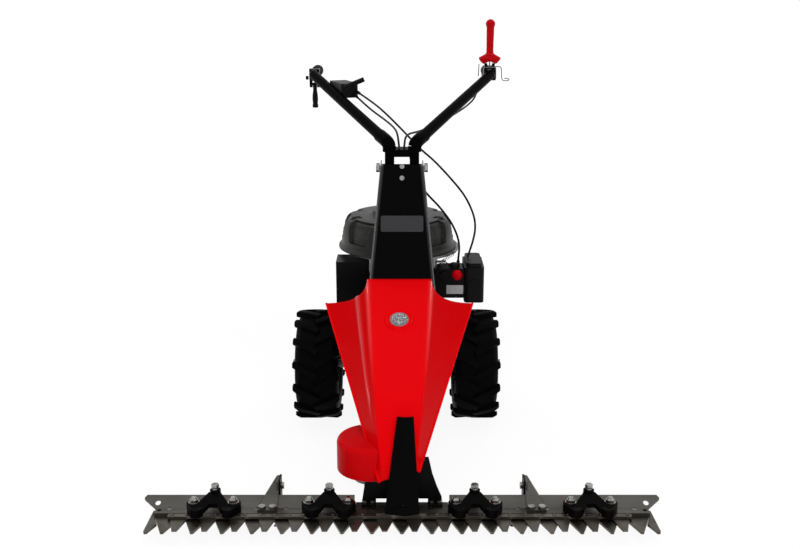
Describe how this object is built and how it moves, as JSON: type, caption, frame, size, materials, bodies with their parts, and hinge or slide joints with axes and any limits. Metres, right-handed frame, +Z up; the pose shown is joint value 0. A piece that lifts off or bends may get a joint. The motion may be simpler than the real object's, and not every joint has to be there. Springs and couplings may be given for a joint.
{
  "type": "sickle bar mower",
  "caption": "Walk-behind sickle bar mower: wide front finger bar with a sliding knife, red hood and crank cover, black column and engine, tilting handlebar with levers, two lugged tyres.",
  "frame": {"origin": "on the ground under the axle, midway between the wheels and midway along the machine", "axes": "+Z up, -Y to the front where the finger bar is, +X to the right seen from the front"},
  "size_m": [1.25, 1.5, 1.146],
  "materials": {
    "red_paint": "gloss",
    "red_plastic": "satin",
    "black_paint": "gloss",
    "black_satin": "satin",
    "bar_steel": "rolled",
    "blade_steel": "ground",
    "fastener_steel": "zinc plated",
    "machined_steel": "turned",
    "belt_rubber": "matte",
    "gearbox_iron": "cast",
    "engine_alloy": "cast",
    "black_plastic": "fine grain",
    "gloss_black": "gloss",
    "muffler_steel": "heat darkened",
    "tyre_rubber": "matte",
    "grip_rubber": "matte",
    "lamp_chrome": "mirror",
    "lens_glass": "clear",
    "cable_sheath": "satin"
  },
  "bodies": {
    "chassis": {"bar_beam": "bar_steel", "fingers": "blade_steel", "bar_bolts": "fastener_steel", "hold_downs": "black_satin", "hold_down_bolts": "fastener_steel", "skid_brackets": "bar_steel", "skids": "black_satin", "skid_bolts": "fastener_steel", "bar_mount": "black_satin", "divider": "black_paint", "bearings": "machined_steel", "crank_cover": "red_paint", "lower_knife_belt": "belt_rubber", "upper_knife_belt": "belt_rubber", "frame_left": "black_satin", "frame_right": "black_satin", "cross_plate": "black_satin", "deck": "black_satin", "gearbox": "gearbox_iron", "drive_belt": "belt_rubber", "hood": "red_paint", "headlight": "lamp_chrome", "headlight_lens": "lens_glass", "column": "black_paint", "column_screws": "fastener_steel", "bare_plate": "gloss_black", "tilt_bolt": "fastener_steel", "engine_cables": "cable_sheath", "engine_block": "engine_alloy", "blower_housing": "gloss_black", "starter_grip": "black_plastic", "muffler": "muffler_steel", "muffler_guard": "black_satin", "carburettor": "black_plastic", "air_filter": "black_plastic", "fuel_tank": "black_plastic", "engine_caps": "black_plastic"},
    "wheels": {"axle": "machined_steel", "rims": "black_paint", "tyres": "tyre_rubber"},
    "input": {"gearbox_input": "machined_steel"},
    "engine_shaft": {"crankshaft": "machined_steel"},
    "jack": {"jackshaft": "machined_steel"},
    "crank": {"crank": "machined_steel", "crank_pulley": "machined_steel"},
    "knife": {"knife_sections": "blade_steel", "knife_back": "blade_steel", "knife_head": "blade_steel"},
    "pitman": {"pitman": "machined_steel"},
    "handlebar": {"yoke": "black_paint", "tube_left": "black_paint", "tube_right": "black_paint", "grips": "grip_rubber", "console": "black_plastic", "lever_brackets": "black_satin", "handle_cables": "cable_sheath"},
    "throttle": {"throttle_lever": "black_plastic"},
    "clutch": {"clutch_lever": "black_plastic"},
    "safety": {"safety_lever": "red_plastic"},
    "primer": {"primer_bulb": "red_plastic"}
  },
  "joints": [
    {"name": "axle_spin", "type": "hinge", "parent": "chassis", "child": "wheels", "pos_m": [0, 0, 0.1625], "axis": [1, 0, 0], "continuous": true},
    {"name": "input_spin", "type": "hinge", "parent": "chassis", "child": "input", "pos_m": [0, -0.072, 0.2], "axis": [0, 0, 1], "continuous": true},
    {"name": "engine_spin", "type": "hinge", "parent": "chassis", "child": "engine_shaft", "pos_m": [0, 0.04, 0.25], "axis": [0, 0, 1], "continuous": true},
    {"name": "jack_spin", "type": "hinge", "parent": "chassis", "child": "jack", "pos_m": [0, -0.33, 0.2], "axis": [0, 0, 1], "continuous": true},
    {"name": "crank_spin", "type": "hinge", "parent": "chassis", "child": "crank", "pos_m": [-0.08, -0.548, 0.1], "axis": [0, 0, 1], "continuous": true},
    {"name": "knife_slide", "type": "slide", "parent": "chassis", "child": "knife", "axis": [1, 0, 0], "range_m": [-0.02456, 0.03544]},
    {"name": "pitman_swing", "type": "hinge", "parent": "knife", "child": "pitman", "pos_m": [0, -0.548, 0.062], "axis": [0, 0, 1], "range_deg": [-41.1, 0]},
    {"name": "handlebar_tilt", "type": "hinge", "parent": "chassis", "child": "handlebar", "pos_m": [0, -0.07, 0.77], "axis": [1, 0, 0], "range_deg": [-10, 10], "deforming": ["engine_cables"]},
    {"name": "throttle_swing", "type": "hinge", "parent": "handlebar", "child": "throttle", "pos_m": [-0.178, 0.314, 0.9518], "axis": [0, 1, 0], "range_deg": [-30, 30]},
    {"name": "clutch_pull", "type": "hinge", "parent": "handlebar", "child": "clutch", "pos_m": [-0.293, 0.596, 0.934], "axis": [1, 0, 0], "range_deg": [0, 65], "stiffness_Nm_per_rad": 0.6, "springref_deg": -8.59},
    {"name": "safety_press", "type": "hinge", "parent": "handlebar", "child": "safety", "pos_m": [0.293, 0.596, 0.992], "axis": [1, 0, 0], "range_deg": [-45, 0], "stiffness_Nm_per_rad": 1.2, "springref_deg": 8.59},
    {"name": "primer_press", "type": "slide", "parent": "chassis", "child": "primer", "axis": [0, 1, 0], "range_m": [0, 0.005], "stiffness_N_per_m": 600}
  ],
  "couplings": [
    {"joint": "input_spin", "follows": "axle_spin", "ratio": 20},
    {"joint": "crank_spin", "follows": "jack_spin", "ratio": 0.7107}
  ]
}
